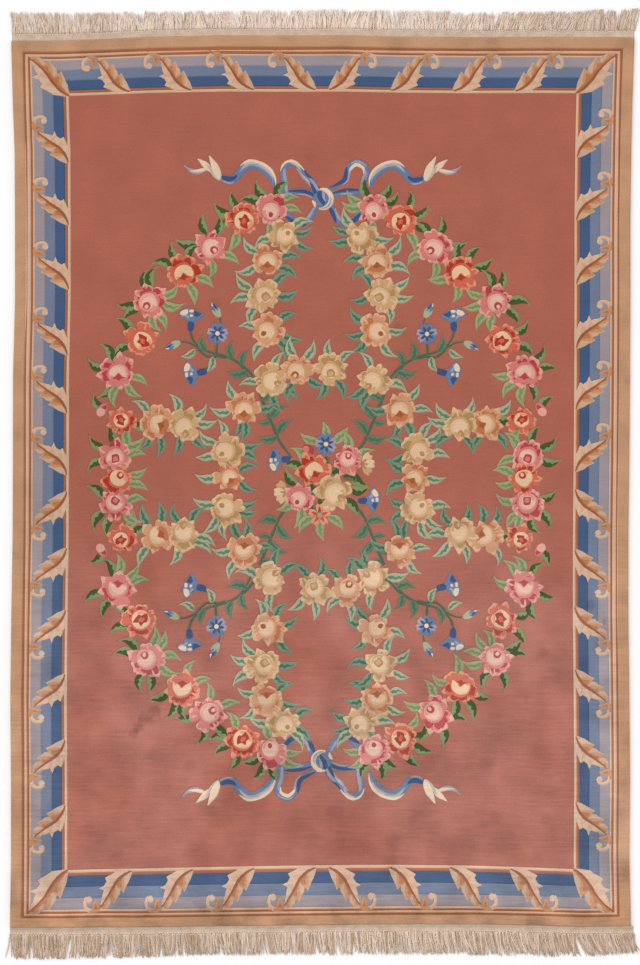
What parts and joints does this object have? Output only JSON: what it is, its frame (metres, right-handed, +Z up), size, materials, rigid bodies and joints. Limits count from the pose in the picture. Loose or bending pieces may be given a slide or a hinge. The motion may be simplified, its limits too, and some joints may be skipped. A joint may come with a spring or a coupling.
{
  "type": "fringed floral pile rug",
  "caption": "Flat oblong pile rug with a carved striped border of scrolling leaves, rose wreaths on a plain field, and a knotted fringe along each short end.",
  "frame": {"origin": "on the floor under the middle of the rug, fringes included", "axes": "+X across the rug, +Y along it towards the head end, the upper end in the picture, +Z up from the floor"},
  "size_m": [1.8778, 2.8058, 0.012],
  "materials": {
    "wool_pile": "short cut wool pile, matt",
    "cotton_fringe": "undyed twisted cotton, matt"
  },
  "bodies": {
    "root": {"rug": "wool_pile", "fringe_head": "cotton_fringe", "fringe_foot": "cotton_fringe"}
  },
  "joints": []
}
